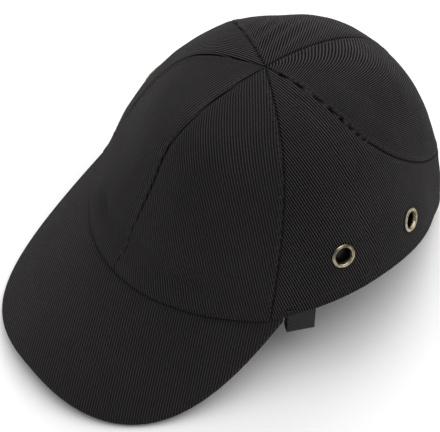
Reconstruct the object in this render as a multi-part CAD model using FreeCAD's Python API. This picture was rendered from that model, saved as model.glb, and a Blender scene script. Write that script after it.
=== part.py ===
import FreeCAD, Part
import math
import os

from FreeCAD import Vector

os.makedirs("parts", exist_ok=True)

# Baseball-style bump cap: a six-panel twill cover with a stiff peak, over a
# moulded ABS shell that slides in from below.
# Millimetres, +Z up, front (peak) towards -Y, the wearer's left is +X.
# x = y = 0 is the middle of the head opening; z = 0 is the plane that the
# peak's edge and the back of the rim rest on.

# Crown outline at the rim, outside of the cloth
HALF_LENGTH = 103.0
HALF_WIDTH = 88.4
FRONT_SQUARENESS = 2.13
BACK_SQUARENESS = 2.36
OUTLINE_WAVE_3 = -0.008
OUTLINE_WAVE_4 = 0.034
BACK_FULLNESS = 0.03
BACK_FULL_FROM = 125.0
# Crown profile from the rim up to the pole, where the six seams meet
CROWN_HEIGHT = 136.1
POLE_Y = -4.0
PROFILE_POWER = (2.28, 0.18, -0.05)
PROFILE_SWELL = (-0.103, -0.095, 0.070)
PROFILE_SWELL_2 = (-0.022, -0.017, -0.032)
POLE_STOP = 0.9983

# Peak
PEAK_REACH = 57.7
PEAK_ANGLE = 60.8
PEAK_ROOT_HEIGHT = 47.8
PEAK_SLOPE = 0.623
PEAK_BEND = 0.0069
PEAK_SQUARENESS = 2.39
PEAK_CORNER = 4.1
PEAK_END = 0.985
PEAK_COVER_THICKNESS = 1.0
PEAK_BOARD_THICKNESS = 1.2
PEAK_BOARD_MARGIN = 0.06
PEAK_LAYER_GAP = 0.2
PEAK_DROP = 0.1
PEAK_ROOT_DIP = 0.9
PEAK_DIP_SHARE = 0.1

# Rim height behind the peak
RIM_FLAT_ANGLE = 165.0
RIM_SIDE_RISE = 16.5

# Cover
CLOTH = 1.2
TAPE_GAP = 0.1
TAPE_THICKNESS = 0.5
TAPE_WIDTH = 14.0
# Where the tapes start and stop along their seams, as shares of the way up
TAPE_START = 0.11
REAR_TAPE_START = 0.14
BACK_TAPE_START = 0.26
TAPE_STOP = 0.80
# The ruled face that parts two panels stands this far out of and into the cloth,
# and runs this far past the middle of the cap
PARTING_OUTSIDE = 3.0
PARTING_INSIDE = 4.5
PARTING_OVERRUN = 6.0
FACING_THICKNESS = 1.0
FACING_TOP = 0.065
FACING_END = 148.0

# Vent eyelets, two a side: angle round the crown and place up the profile
EYELETS = ((81.2, 0.137), (105.9, 0.113))
EYELET_DIAMETER = 13.0
EYELET_BORE = 8.6
EYELET_WALL = 0.45
EYELET_DOME = 1.1
EYELET_TAIL = 1.1
EYELET_CLEARANCE = 0.15
WASHER_DIAMETER = 12.0
WASHER_THICKNESS = 0.5
WASHER_CLEARANCE = 0.05
WASHER_GAP = 0.25

# Rear arch and its size straps
ARCH_HALF_WIDTH = 28.0
ARCH_BASE = 12.0
ARCH_RISE = 19.0
BINDING_WIDTH = 3.0
BINDING_GAP = 0.05
BINDING_PROUD = 0.4
BINDING_HALF_SPREAD = 30.0
BINDING_TOP = 0.24
STRAP_HEIGHT = 16.0
STRAP_THICKNESS = 1.2
STRAP_GAP = 0.4
STRAP_CLEARANCE = 2.2
STRAP_SEWN_X = 40.0
HOOK_STRAP_TIP_X = 16.0
LOOP_STRAP_INSET = 2.0
STRAP_FLOOR_GAP = 0.3

# Ribbon loops behind the ends of the peak
RIBBON_ANGLE = 66.5
RIBBON_WIDTH = 15.0
RIBBON_DROP = 18.0
RIBBON_THICKNESS = 1.0
RIBBON_GAP = 1.6
RIBBON_INSET = 0.3
RIBBON_TOP_GAP = 1.0

# Bump shell and its padding
SHELL_INSET = 4.6
SHELL_THICKNESS = 2.0
SHELL_LOW_FRONT = 0.035
SHELL_LOW_BACK = 0.22
SHELL_RISE_START = 105.0
SHELL_RISE_END = 150.0
SHELL_CROWN_HOLE = 0.985
SLOT_LENGTH = 26.0
SLOT_WIDTH = 6.0
SLOTS = ((38.0, 0.52), (78.0, 0.52), (118.0, 0.55), (152.0, 0.60), (60.0, 0.25), (93.0, 0.22))
PAD_GAP = 0.4
PAD_THICKNESS = 6.0
BROW_THICKNESS = 4.0
# Each pad: from and to, in degrees round the crown, then its low and high edge up the profile
SIDE_PAD = (58, 100, 0.16, 0.46)
FRONT_PAD = (-40, 40, 0.17, 0.52)
REAR_PAD = (150, 210, 0.32, 0.60)
BROW_PAD = (-62, 62, 0.03, 0.14)
CROWN_PAD_LOW = 0.76


def wave(weights, angle):
    """Smooth function of the angle from a mean and two waves."""
    return weights[0] + weights[1] * math.cos(angle) + weights[2] * math.cos(2 * angle)


def signed_power(value, power):
    return math.copysign(abs(value) ** power, value)


def rim_xy(angle, inset=0.0):
    """Rim outline: a superellipse, squarer at the back than at the front."""
    side, ahead = math.sin(angle), math.cos(angle)
    power = 2.0 / (FRONT_SQUARENESS if ahead > 0 else BACK_SQUARENESS)
    swell = 1 + OUTLINE_WAVE_3 * (math.cos(3 * angle) - math.cos(angle))
    swell += OUTLINE_WAVE_4 * (math.cos(4 * angle) - 1)
    behind = math.degrees(abs(math.remainder(angle, 2 * math.pi))) - BACK_FULL_FROM
    if behind > 0:
        swell += BACK_FULLNESS * math.sin(math.pi * behind / (180 - BACK_FULL_FROM)) ** 2
    x = signed_power(side, power) * (HALF_WIDTH - inset) * swell
    y = -signed_power(ahead, power) * (HALF_LENGTH - inset) * swell
    return x, y


def peak_height(x, y):
    """Upper surface of the peak: it slopes down forward and bends down to both sides."""
    return PEAK_ROOT_HEIGHT + PEAK_SLOPE * (y + HALF_LENGTH) - PEAK_BEND * x * x


def rim_height(angle):
    """Height of the rim: on the peak at the front, then over the ear and down to the back."""
    turn = abs(math.remainder(angle, 2 * math.pi))
    end = math.radians(PEAK_ANGLE)
    if turn <= end:
        return peak_height(*rim_xy(turn))
    start = peak_height(*rim_xy(end))
    along = min((turn - end) / (math.radians(RIM_FLAT_ANGLE) - end), 1.0)
    fall = start * (1 + math.cos(math.pi * along)) / 2
    return fall + RIM_SIDE_RISE * math.sin(math.pi * along) * (1 - along ** 4)


def dome_point(angle, s, inset=0.0):
    """Point of the crown: s runs from 0 at the rim to 1 at the pole."""
    x, y = rim_xy(angle, inset)
    low = rim_height(angle)
    power = 2.0 / wave(PROFILE_POWER, angle)
    inward = max(math.cos(math.pi * s / 2), 0.0) ** power
    upward = max(math.sin(math.pi * s / 2), 0.0) ** power
    inward *= 1 + wave(PROFILE_SWELL, angle) * math.sin(math.pi * s) \
        + wave(PROFILE_SWELL_2, angle) * math.sin(2 * math.pi * s)
    return Vector(x * inward, POLE_Y + (y - POLE_Y) * inward, low + (CROWN_HEIGHT - inset - low) * upward)


def outward(angle, s):
    """Unit normal of the crown, pointing out of it."""
    step = 0.001
    round_it = dome_point(angle + step, s) - dome_point(angle - step, s)
    up_it = dome_point(angle, s + step) - dome_point(angle, s - step)
    return round_it.cross(up_it).normalize()


def steps(start, end, count):
    return [start + (end - start) * i / (count - 1) for i in range(count)]


def solid_between(outer_rows, inner_rows):
    """Closed solid between two point grids of one layout."""
    faces = []
    surfaces = []
    for rows in (outer_rows, inner_rows):
        surface = Part.BSplineSurface()
        surface.interpolate(rows)
        surfaces.append(surface)
        faces.append(surface.toShape())
    for pick in (lambda s: s.uIso(s.bounds()[0]), lambda s: s.uIso(s.bounds()[1]),
                 lambda s: s.vIso(s.bounds()[2]), lambda s: s.vIso(s.bounds()[3])):
        edges = [pick(surface).toShape() for surface in surfaces]
        faces.append(Part.makeRuledSurface(edges[0], edges[1]))
    shell = Part.makeShell(faces)
    shell.sewShape()
    solid = Part.makeSolid(shell)
    if solid.Volume < 0:
        solid.reverse()
    return solid


def dome_patch(angles, low_of, high_of, inset, thickness, rows=13):
    """Piece of crown between two heights, which may change with the angle."""
    grids = []
    for depth in (inset, inset + thickness):
        grid = []
        for angle in angles:
            heights = steps(low_of(angle), high_of(angle), rows)
            grid.append([dome_point(angle, s, depth) for s in heights])
        grids.append(grid)
    return solid_between(grids[0], grids[1])


def mirrored(shape):
    return shape.mirror(Vector(0, 0, 0), Vector(1, 0, 0))


def both_halves(half):
    """Whole shape from its left half."""
    return half.fuse(mirrored(half)).removeSplitter()


def constant(value):
    return lambda angle: value


def save(name, shape):
    shape.exportStep(os.path.join("parts", name + ".step"))


# ---------------------------------------------------------------- seams

def front_side_seam(w):
    """Seam between a front panel and a side panel, w from the rim to the pole."""
    bow = 3.6 * math.sin(math.pi * w)
    return math.radians(56.3 + 7.1 * w + bow), w


def rear_side_seam(w):
    """Seam from the pole, down over the ear, then round to the middle of the back."""
    handles = ((99.9, 1.0), (99.9, 0.56), (96.7, 0.172), (180.0, 0.172))
    share = ((1 - w) ** 3, 3 * w * (1 - w) ** 2, 3 * w * w * (1 - w), w ** 3)
    angle = sum(k * h[0] for k, h in zip(share, handles))
    s = sum(k * h[1] for k, h in zip(share, handles))
    return math.radians(angle), s


def curtain(seam, pole_first):
    """Ruled face standing through the crown along a seam, to cut the panels with."""
    edges = []
    for inset in (-PARTING_OUTSIDE, PARTING_INSIDE):
        points = [dome_point(*seam(w), inset) for w in steps(0.0, 1.0, 41)]
        if pole_first:
            end = Vector(-PARTING_OVERRUN, points[-1].y, points[-1].z)
            points.append(end)
        else:
            beyond = points[0] + (points[0] - points[1]).normalize() * PARTING_OVERRUN
            points.insert(0, beyond)
        curve = Part.BSplineCurve()
        curve.interpolate(points)
        edges.append(curve.toShape())
    return Part.makeRuledSurface(edges[0], edges[1])


# ---------------------------------------------------------------- crown cover

def arch_block(margin):
    """Block that the rear arch is cut with: straight sides under a half ellipse."""
    near, length, below = 40.0, 120.0, 20.0
    half, rise = ARCH_HALF_WIDTH + margin, ARCH_RISE + margin
    block = Part.makeBox(2 * half, length, ARCH_BASE + below, Vector(-half, near, -below))
    centre = Vector(0, near, ARCH_BASE)
    outline = Part.Ellipse(Vector(half, near, ARCH_BASE), Vector(0, near, ARCH_BASE + rise), centre)
    top = Part.Face(Part.Wire(outline.toShape())).extrude(Vector(0, length, 0))
    return block.fuse(top)


def eyelet_frame(angle, s):
    """Origin on the outside of the cloth, and the direction out of it."""
    return dome_point(angle, s), outward(angle, s)


def eyelet_places():
    places = []
    for degrees, s in EYELETS:
        base, out = eyelet_frame(math.radians(degrees), s)
        places.append((base, out))
        places.append((Vector(-base.x, base.y, base.z), Vector(-out.x, out.y, out.z)))
    return places


def cover_angles():
    """Angles round half of the crown, closer together near the end of the peak."""
    near_end = steps(PEAK_ANGLE - 2, PEAK_ANGLE + 2, 5)
    return steps(0, PEAK_ANGLE - 4, 16) + near_end + steps(PEAK_ANGLE + 5, 180, 32)


def crown_panels():
    half = dome_patch([math.radians(a) for a in cover_angles()],
                      constant(0.0), constant(POLE_STOP), 0.0, CLOTH, rows=26)
    cut, pieces = half.generalFuse([curtain(front_side_seam, False), curtain(rear_side_seam, True)])
    solids = [solid for piece in pieces[0] for solid in piece.Solids]
    front, side, back = sorted(solids, key=lambda solid: solid.CenterOfMass.y)
    side = side.cut(arch_block(BINDING_WIDTH))
    back = back.cut(arch_block(BINDING_WIDTH))
    radius, reach = EYELET_BORE / 2 + EYELET_WALL + EYELET_CLEARANCE, 4.0
    for base, out in eyelet_places():
        hole = Part.makeCylinder(radius, 2 * reach, base - out * reach, out)
        if base.x > 0:
            side = side.cut(hole)
    return {"front_panel": front, "side_panel": side, "back_panel": back}


def arch_binding():
    """Folded tape over the edge of the rear arch."""
    spread = steps(180 - BINDING_HALF_SPREAD, 180 + BINDING_HALF_SPREAD, 25)
    layer = dome_patch([math.radians(a) for a in spread], constant(0.0), constant(BINDING_TOP),
                       -BINDING_PROUD, CLOTH + 2 * BINDING_PROUD)
    ring = arch_block(BINDING_WIDTH - BINDING_GAP).cut(arch_block(0.0))
    return layer.common(ring)


def beside(angle, s, offset):
    """Angle and place up the profile of the point of the crown that lies offset from a place on it."""
    target = dome_point(angle, s) + offset
    step = 0.001
    for _ in range(8):
        by_angle = (dome_point(angle + step, s) - dome_point(angle - step, s)) / (2 * step)
        by_s = (dome_point(angle, s + step) - dome_point(angle, s - step)) / (2 * step)
        miss = target - dome_point(angle, s)
        a, b, c = by_angle.dot(by_angle), by_angle.dot(by_s), by_s.dot(by_s)
        e, f = miss.dot(by_angle), miss.dot(by_s)
        angle += (c * e - b * f) / (a * c - b * b)
        s += (a * f - b * e) / (a * c - b * b)
    return angle, s


def seam_tape(seam, start, end):
    """Flat tape on the inside of the cover, centred on a seam."""
    grids = ([], [])
    for w in steps(start, end, 19):
        angle, s = seam(w)
        ahead_angle, ahead_s = seam(w + 0.002)
        run = (dome_point(ahead_angle, ahead_s) - dome_point(angle, s)).normalize()
        across = outward(angle, s).cross(run).normalize()
        for grid, inset in zip(grids, (CLOTH + TAPE_GAP, CLOTH + TAPE_GAP + TAPE_THICKNESS)):
            row = []
            for offset in steps(-TAPE_WIDTH / 2, TAPE_WIDTH / 2, 5):
                row.append(dome_point(*beside(angle, s, across * offset), inset))
            grid.append(row)
    return solid_between(grids[0], grids[1])


def rim_facing():
    """Hem band sewn inside the rim, from one side of the rear arch round to the other."""
    return dome_patch([math.radians(a) for a in steps(-FACING_END, FACING_END, 61)],
                      constant(0.004), constant(FACING_TOP), CLOTH + TAPE_GAP, FACING_THICKNESS, rows=7)


# ---------------------------------------------------------------- peak

def peak_grid(drop, margin, tuck):
    """Rows of points across the peak, from the crown out to the edge."""
    end = math.radians(PEAK_ANGLE)
    end_x, end_y = rim_xy(end)
    rows = []
    for u in steps(-PEAK_END + margin / 2, PEAK_END - margin / 2, 37):
        root_x, root_y = rim_xy(u * end, tuck)
        turn = u * math.pi / 2
        edge_x = signed_power(math.sin(turn), 2 / PEAK_SQUARENESS) * end_x + PEAK_CORNER * math.sin(2 * turn)
        edge_y = end_y - (HALF_LENGTH + PEAK_REACH + end_y) * math.cos(turn) ** (2 / PEAK_SQUARENESS)
        row = []
        for v in steps(margin / 2, 1 - margin, 11):
            x = root_x + (edge_x - root_x) * v
            y = root_y + (edge_y - root_y) * v
            dip = PEAK_ROOT_DIP * max(1 - v / PEAK_DIP_SHARE, 0.0)
            row.append(Vector(x, y, peak_height(x, y) - drop - dip))
        rows.append(row)
    return rows


def peak_layer(top, thickness, margin=0.0, tuck=CLOTH):
    return solid_between(peak_grid(top, margin, tuck), peak_grid(top + thickness, margin, tuck))


# ---------------------------------------------------------------- eyelets

def ring_of(profile, base, out):
    """Ring turned from a radius and height profile about the direction out of the cloth."""
    wire = Part.makePolygon([Vector(r, 0, h) for r, h in profile + profile[:1]])
    ring = Part.Face(wire).revolve(Vector(0, 0, 0), Vector(0, 0, 1), 360)
    ring.Placement = FreeCAD.Placement(base, FreeCAD.Rotation(Vector(0, 0, 1), out))
    return ring


def eyelets():
    bore, wall, rim = EYELET_BORE / 2, EYELET_WALL, EYELET_DIAMETER / 2
    tail = -CLOTH - EYELET_TAIL
    crest = (bore + rim) / 2
    profile = [(bore, tail), (bore, EYELET_DOME * 0.7), (crest - 0.6, EYELET_DOME), (crest + 0.5, EYELET_DOME),
               (rim, 0.35), (rim, 0.1), (bore + wall, 0.1), (bore + wall, tail)]
    return Part.makeCompound([ring_of(profile, base, out) for base, out in eyelet_places()])


def eyelet_washers():
    hole, edge = EYELET_BORE / 2 + EYELET_WALL + WASHER_CLEARANCE, WASHER_DIAMETER / 2
    top = -CLOTH - WASHER_GAP
    profile = [(hole, top), (edge, top), (edge, top - WASHER_THICKNESS), (hole, top - WASHER_THICKNESS)]
    return Part.makeCompound([ring_of(profile, base, out) for base, out in eyelet_places()])


# ---------------------------------------------------------------- rear straps

def strap(x_start, x_end, inset):
    """Flat strap following the back of the crown between two sideways places."""
    grids = ([], [])
    for grid, depth in zip(grids, (inset, inset + STRAP_THICKNESS)):
        for x in steps(x_start, x_end, 15):
            y = back_y(x, depth)
            lean = back_lean(x)
            row = [Vector(x, y - lean * h, STRAP_FLOOR_GAP + h) for h in steps(0.0, STRAP_HEIGHT, 5)]
            grid.append(row)
    return solid_between(grids[0], grids[1])


def back_angle(x):
    """Angle round the back of the crown where the rim reaches x."""
    low, high = math.radians(120), math.radians(180)
    for i in range(40):
        middle = (low + high) / 2
        if rim_xy(middle)[0] > abs(x):
            low = middle
        else:
            high = middle
    return (low + high) / 2


def back_y(x, inset):
    return rim_xy(back_angle(x))[1] - inset


def back_lean(x):
    """How far the back of the crown leans in for each millimetre of height."""
    angle = back_angle(x)
    low, up = dome_point(angle, 0.0), dome_point(angle, 0.08)
    return (low.y - up.y) / (up.z - low.z)


# ---------------------------------------------------------------- ribbon loops

def ribbon_loop():
    """Folded ribbon hanging from the rim: an outer leg, a round fold and an inner leg."""
    angle = math.radians(RIBBON_ANGLE)
    base = dome_point(angle, 0.0, RIBBON_INSET)
    along = (dome_point(angle + 0.05, 0.0) - dome_point(angle - 0.05, 0.0)).normalize()
    inward = along.cross(Vector(0, 0, 1)).normalize() * -1
    down = along.cross(inward).normalize()
    if down.z > 0:
        down = down * -1
    if inward.x > 0:
        inward = inward * -1
    radius = RIBBON_GAP / 2 + RIBBON_THICKNESS
    leg = RIBBON_DROP - radius
    start = base - along * (RIBBON_WIDTH / 2) + down * RIBBON_TOP_GAP
    outer_box = [start, start + inward * (2 * radius), start + inward * (2 * radius) + down * leg, start + down * leg]
    loop = Part.Face(Part.makePolygon(outer_box + outer_box[:1])).extrude(along * RIBBON_WIDTH)
    centre = start + inward * radius + down * leg
    fold = Part.makeCylinder(radius, RIBBON_WIDTH, centre, along)
    gap_start = start + inward * RIBBON_THICKNESS - down * 1 - along
    gap_box = [gap_start, gap_start + inward * RIBBON_GAP, gap_start + inward * RIBBON_GAP + down * (leg + 1),
               gap_start + down * (leg + 1)]
    gap = Part.Face(Part.makePolygon(gap_box + gap_box[:1])).extrude(along * (RIBBON_WIDTH + 2))
    bore = Part.makeCylinder(RIBBON_GAP / 2, RIBBON_WIDTH + 2, centre - along, along)
    return loop.fuse(fold).cut(gap.fuse(bore)).removeSplitter()


# ---------------------------------------------------------------- shell and padding

def shell_low(angle):
    """Lower edge of the shell: low at the front and sides, raised over the rear arch."""
    turn = math.degrees(abs(math.remainder(angle, 2 * math.pi)))
    along = min(max((turn - SHELL_RISE_START) / (SHELL_RISE_END - SHELL_RISE_START), 0.0), 1.0)
    return SHELL_LOW_FRONT + (SHELL_LOW_BACK - SHELL_LOW_FRONT) * (1 - math.cos(math.pi * along)) / 2


def slot_cutter(degrees, s):
    """Round-ended slot through the shell, its length running round the crown."""
    angle = math.radians(degrees)
    base, out = dome_point(angle, s, SHELL_INSET), outward(angle, s)
    along = (dome_point(angle + 0.01, s) - dome_point(angle - 0.01, s)).normalize()
    across = out.cross(along)
    reach = 9.0
    half_run = (SLOT_LENGTH - SLOT_WIDTH) / 2
    corner = base - along * half_run - across * (SLOT_WIDTH / 2) - out * reach
    points = [corner, corner + along * 2 * half_run, corner + along * 2 * half_run + across * SLOT_WIDTH,
              corner + across * SLOT_WIDTH]
    cutter = Part.Face(Part.makePolygon(points + points[:1])).extrude(out * 2 * reach)
    for end in (-half_run, half_run):
        cutter = cutter.fuse(Part.makeCylinder(SLOT_WIDTH / 2, 2 * reach, base + along * end - out * reach, out))
    return cutter


def abs_shell():
    half = dome_patch([math.radians(a) for a in steps(0, 180, 41)],
                      shell_low, constant(SHELL_CROWN_HOLE), SHELL_INSET, SHELL_THICKNESS, rows=22)
    for degrees, s in SLOTS:
        half = half.cut(slot_cutter(degrees, s))
    return both_halves(half)


def pad(first, last, low, high, thickness=PAD_THICKNESS):
    inset = SHELL_INSET + SHELL_THICKNESS + PAD_GAP
    return dome_patch([math.radians(a) for a in steps(first, last, 17)],
                      constant(low), constant(high), inset, thickness, rows=9)


# ---------------------------------------------------------------- write every piece

for name, panel in crown_panels().items():
    save(name + "_left", panel)
    save(name + "_right", mirrored(panel))

front_tape = seam_tape(lambda w: (0.0, w), TAPE_START, TAPE_STOP)
back_tape = seam_tape(lambda w: (math.pi, w), BACK_TAPE_START, TAPE_STOP)
side_tape = seam_tape(front_side_seam, TAPE_START, TAPE_STOP)
rear_tape = seam_tape(rear_side_seam, REAR_TAPE_START, TAPE_STOP)
save("seam_tape_front", front_tape)
save("seam_tape_back", back_tape)
save("seam_tape_side_left", side_tape)
save("seam_tape_side_right", mirrored(side_tape))
save("seam_tape_rear_left", rear_tape)
save("seam_tape_rear_right", mirrored(rear_tape))

save("rim_facing", rim_facing())
save("arch_binding", arch_binding())
save("vent_eyelets", eyelets())
save("eyelet_washers", eyelet_washers())

board_drop = PEAK_DROP + PEAK_COVER_THICKNESS + PEAK_LAYER_GAP
bottom_drop = board_drop + PEAK_BOARD_THICKNESS + PEAK_LAYER_GAP
save("peak_cover_top", peak_layer(PEAK_DROP, PEAK_COVER_THICKNESS))
save("peak_board", peak_layer(board_drop, PEAK_BOARD_THICKNESS, PEAK_BOARD_MARGIN))
save("peak_cover_bottom", peak_layer(bottom_drop, PEAK_COVER_THICKNESS))

strap_end = STRAP_CLEARANCE - ARCH_HALF_WIDTH
save("loop_strap", strap(STRAP_SEWN_X, strap_end, LOOP_STRAP_INSET))
save("hook_strap", strap(strap_end, HOOK_STRAP_TIP_X, LOOP_STRAP_INSET - STRAP_THICKNESS - STRAP_GAP))

left_loop = ribbon_loop()
save("ribbon_loop_left", left_loop)
save("ribbon_loop_right", mirrored(left_loop))

save("abs_shell", abs_shell())
side_pad = pad(*SIDE_PAD)
crown_half = dome_patch([math.radians(a) for a in steps(0, 180, 21)],
                        constant(CROWN_PAD_LOW), constant(SHELL_CROWN_HOLE),
                        SHELL_INSET + SHELL_THICKNESS + PAD_GAP, PAD_THICKNESS, rows=9)
save("crown_pad", both_halves(crown_half))
save("front_pad", pad(*FRONT_PAD))
save("rear_pad", pad(*REAR_PAD))
save("side_pad_left", side_pad)
save("side_pad_right", mirrored(side_pad))
save("brow_pad", pad(*BROW_PAD, BROW_THICKNESS))
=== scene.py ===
import math

import bmesh
import bpy
from mathutils import Matrix, Vector, kdtree, noise


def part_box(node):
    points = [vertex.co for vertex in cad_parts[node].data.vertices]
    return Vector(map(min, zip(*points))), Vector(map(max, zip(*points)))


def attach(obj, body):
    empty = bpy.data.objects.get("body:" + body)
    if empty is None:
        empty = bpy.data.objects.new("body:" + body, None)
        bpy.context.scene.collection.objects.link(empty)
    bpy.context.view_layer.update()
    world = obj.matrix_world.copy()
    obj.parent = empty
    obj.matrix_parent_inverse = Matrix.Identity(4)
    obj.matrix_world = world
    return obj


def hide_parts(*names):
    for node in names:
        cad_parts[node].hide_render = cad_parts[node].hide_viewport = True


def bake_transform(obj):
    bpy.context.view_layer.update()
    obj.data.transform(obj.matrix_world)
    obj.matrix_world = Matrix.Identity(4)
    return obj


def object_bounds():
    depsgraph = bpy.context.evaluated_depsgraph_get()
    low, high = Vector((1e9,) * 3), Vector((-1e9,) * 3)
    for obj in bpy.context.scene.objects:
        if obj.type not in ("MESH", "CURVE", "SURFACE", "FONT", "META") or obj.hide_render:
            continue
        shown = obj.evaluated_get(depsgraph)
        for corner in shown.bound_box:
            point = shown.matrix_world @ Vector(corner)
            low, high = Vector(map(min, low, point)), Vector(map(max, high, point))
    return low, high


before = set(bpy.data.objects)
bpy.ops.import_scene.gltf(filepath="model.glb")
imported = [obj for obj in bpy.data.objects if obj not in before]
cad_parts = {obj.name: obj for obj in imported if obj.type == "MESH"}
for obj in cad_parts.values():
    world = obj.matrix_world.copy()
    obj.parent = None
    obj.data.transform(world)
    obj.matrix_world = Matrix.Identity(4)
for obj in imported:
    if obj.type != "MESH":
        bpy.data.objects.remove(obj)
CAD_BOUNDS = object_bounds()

bl_info = {
    "name": "Bump cap",
    "version": (1, 0, 0),
    "blender": (4, 5, 0),
    "location": "3D View > Sidebar > Bump cap",
    "description": "Builds a sewn twill bump cap with its shell, padding, eyelets and straps",
    "category": "Add Mesh",
}

# Lengths below are millimetres unless a name says otherwise; meshes are metres.
MM = 0.001

# How far the front panels stand in front of the origin
FRONT_REACH = -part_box("front_panel_left")[0].y / MM

# Outline of the crown at its rim: x to the wearer's left, y to the back
FRONT_SQUARENESS = 2.13
BACK_SQUARENESS = 2.36
OUTLINE_WAVE_3 = -0.008
OUTLINE_WAVE_4 = 0.034
BACK_FULLNESS = 0.03
BACK_FULL_FROM = 125.0
# Profile of the crown from the rim up to the pole, where the six seams meet
POLE_Y = -4.0
PROFILE_POWER = (2.28, 0.18, -0.05)
PROFILE_SWELL = (-0.103, -0.095, 0.070)
PROFILE_SWELL_2 = (-0.022, -0.017, -0.032)
NEAR_POLE = 0.9985
# Peak
PEAK_ANGLE = 60.8
PEAK_ROOT_HEIGHT = 47.8
PEAK_SLOPE = 0.623
PEAK_BEND = 0.0069
PEAK_SQUARENESS = 2.39
PEAK_CORNER = 4.1
PEAK_TOP = 0.1
PEAK_UNDERSIDE = 3.7
# Rim behind the peak
RIM_FLAT_ANGLE = 165.0
RIM_SIDE_RISE = 16.5
# Rear arch
ARCH_HALF_WIDTH = 28.0
ARCH_BASE = 12.0
ARCH_RISE = 19.0
# Seams
REAR_SEAM_HANDLES = ((99.9, 1.0), (99.9, 0.56), (96.7, 0.172), (180.0, 0.172))
BACK_SEAM_END = 0.172
# Rows of topstitching: distances from the seam
STITCH_ROWS = (1.2, 2.3)
# Eyelets: angle round the crown and place up its profile, and how deep the barrel goes
EYELETS = ((81.2, 0.137), (105.9, 0.113))
BARREL_DEPTH = 2.2
# Depths under the crown's surface, and the hem band's width
TAPE_INSET = 1.2 + 0.15
HEM_INSET = 1.65
HEM_WIDTH = 13.0
SHELL_INSET = 4.6
SHELL_THICKNESS = 2.0
PAD_SEAT = SHELL_INSET + SHELL_THICKNESS + 0.45
# Distance from a panel's edge to the rear arch
ARCH_MARGIN = 1.2
# Place of the ribbon loops, in degrees from the front
RIBBON_ANGLE = 66.5
# Camera and lights look at the target from an azimuth and an elevation, at a distance in metres
TARGET = (-0.0004, -0.0328, 0.0359)
CAMERA_PLACE = (51.52, 52.84, 0.8993)
CAMERA_LENS = 135.93
# Name, azimuth, elevation, distance, power in watts and width in metres
LIGHTS = (("Overhead softbox", 200.0, 73.0, 1.9, 47.0, 3.0), ("Back softbox", 215.0, 32.0, 1.8, 8.0, 1.2))
ROOM_LIGHT = 0.45


# ---------------------------------------------------------------- sizes and colours

def length(name, description, millimetres):
    return bpy.props.FloatProperty(name=name, description=description, default=millimetres * MM,
                                   min=0.0, unit="LENGTH", subtype="DISTANCE", precision=4)


def colour(name, description, hex_value):
    return bpy.props.StringProperty(name=name, description=description + ", as sRGB hex", default=hex_value)


class CapSizes(bpy.types.PropertyGroup):
    """Sizes of the cap that a maker would change"""
    half_length: length("Half length", "Crown outline, front to back, halved", FRONT_REACH)
    half_width: length("Half width", "Crown outline, side to side, halved", 88.4)
    crown_height: length("Crown height", "Height of the pole", 136.1)
    peak_reach: length("Peak reach", "How far the peak stands out of the crown", 57.7)
    cloth: length("Cloth", "Thickness of the cover's cloth", 1.1)
    # The cloth's lines are about 1.2 apart. They are drawn a little coarser, so that they show.
    twill_pitch: length("Twill pitch", "Distance between two twill lines", 1.3)
    seam_depth: length("Seam depth", "How far a seam is drawn in", 0.8)
    hollow: length("Hollow", "How far the cloth is drawn in above the peak", 2.4)
    flare: length("Flare", "How far the crown's lower edge stands out over the peak", 1.2)
    stitch: length("Stitch", "Length of one stitch with its gap", 3.0)
    thread: length("Thread", "Thickness of the sewing thread", 0.32)
    eyelet_bore: length("Eyelet bore", "Inside diameter of a vent eyelet", 8.6)
    eyelet_width: length("Eyelet width", "Outside diameter of a vent eyelet", 13.0)
    tape: length("Tape", "Width of the tape over each seam", 14.0)
    strap: length("Strap", "Width of the closure straps", 16.0)
    ribbon: length("Ribbon", "Width of the ribbon loops", 15.0)
    pad: length("Pad", "Thickness of the foam pads", 6.0)
    brow_pad: length("Brow pad", "Thickness of the brow pad", 4.0)


class CapColours(bpy.types.PropertyGroup):
    """Colours of the cap's finishes"""
    cloth_ridge: colour("Cloth", "Raised lines of the twill", "#454243")
    cloth_groove: colour("Cloth grooves", "Between the lines of the twill", "#040405")
    lint: colour("Lint", "Stray fibres on the cloth", "#8E8C8A")
    thread: colour("Thread", "Sewing thread", "#3E3B3D")
    brass: colour("Brass", "Bright parts of the eyelets", "#C9BDA2")
    brass_dark: colour("Aged brass", "Dark parts of the eyelets", "#6E6350")
    tape: colour("Tape", "Seam tape and hem band", "#262628")
    ribbon: colour("Ribbon", "Grosgrain ribbon", "#3A3A3C")
    shell: colour("Shell", "Moulded shell", "#0E0E10")
    foam: colour("Foam", "Foam pads", "#2B2C2E")
    brow: colour("Brow cloth", "Cloth over the brow pad", "#202022")
    board: colour("Peak board", "Plastic board in the peak", "#3A3A3B")
    floor: colour("Floor", "Floor and backdrop", "#F8F8F8")


def sizes():
    """The sizes in millimetres, by name."""
    group = bpy.context.scene.cap_sizes
    return {name: getattr(group, name) / MM for name in CapSizes.__annotations__}


def linear(hex_value):
    """Linear colour of an sRGB hex value."""
    channels = [int(hex_value[i:i + 2], 16) / 255 for i in (1, 3, 5)]
    return tuple(c / 12.92 if c <= 0.04045 else ((c + 0.055) / 1.055) ** 2.4 for c in channels) + (1.0,)


# ---------------------------------------------------------------- shape of the cap

def wave(weights, angle):
    return weights[0] + weights[1] * math.cos(angle) + weights[2] * math.cos(2 * angle)


def signed_power(value, power):
    return math.copysign(abs(value) ** power, value)


def smooth(value):
    """Eases from 0 to 1."""
    value = min(max(value, 0.0), 1.0)
    return value * value * (3 - 2 * value)


def bell(distance, width):
    return math.exp(-(distance / width) ** 2)


def steps(start, end, count):
    return [start + (end - start) * i / (count - 1) for i in range(count)]


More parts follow.
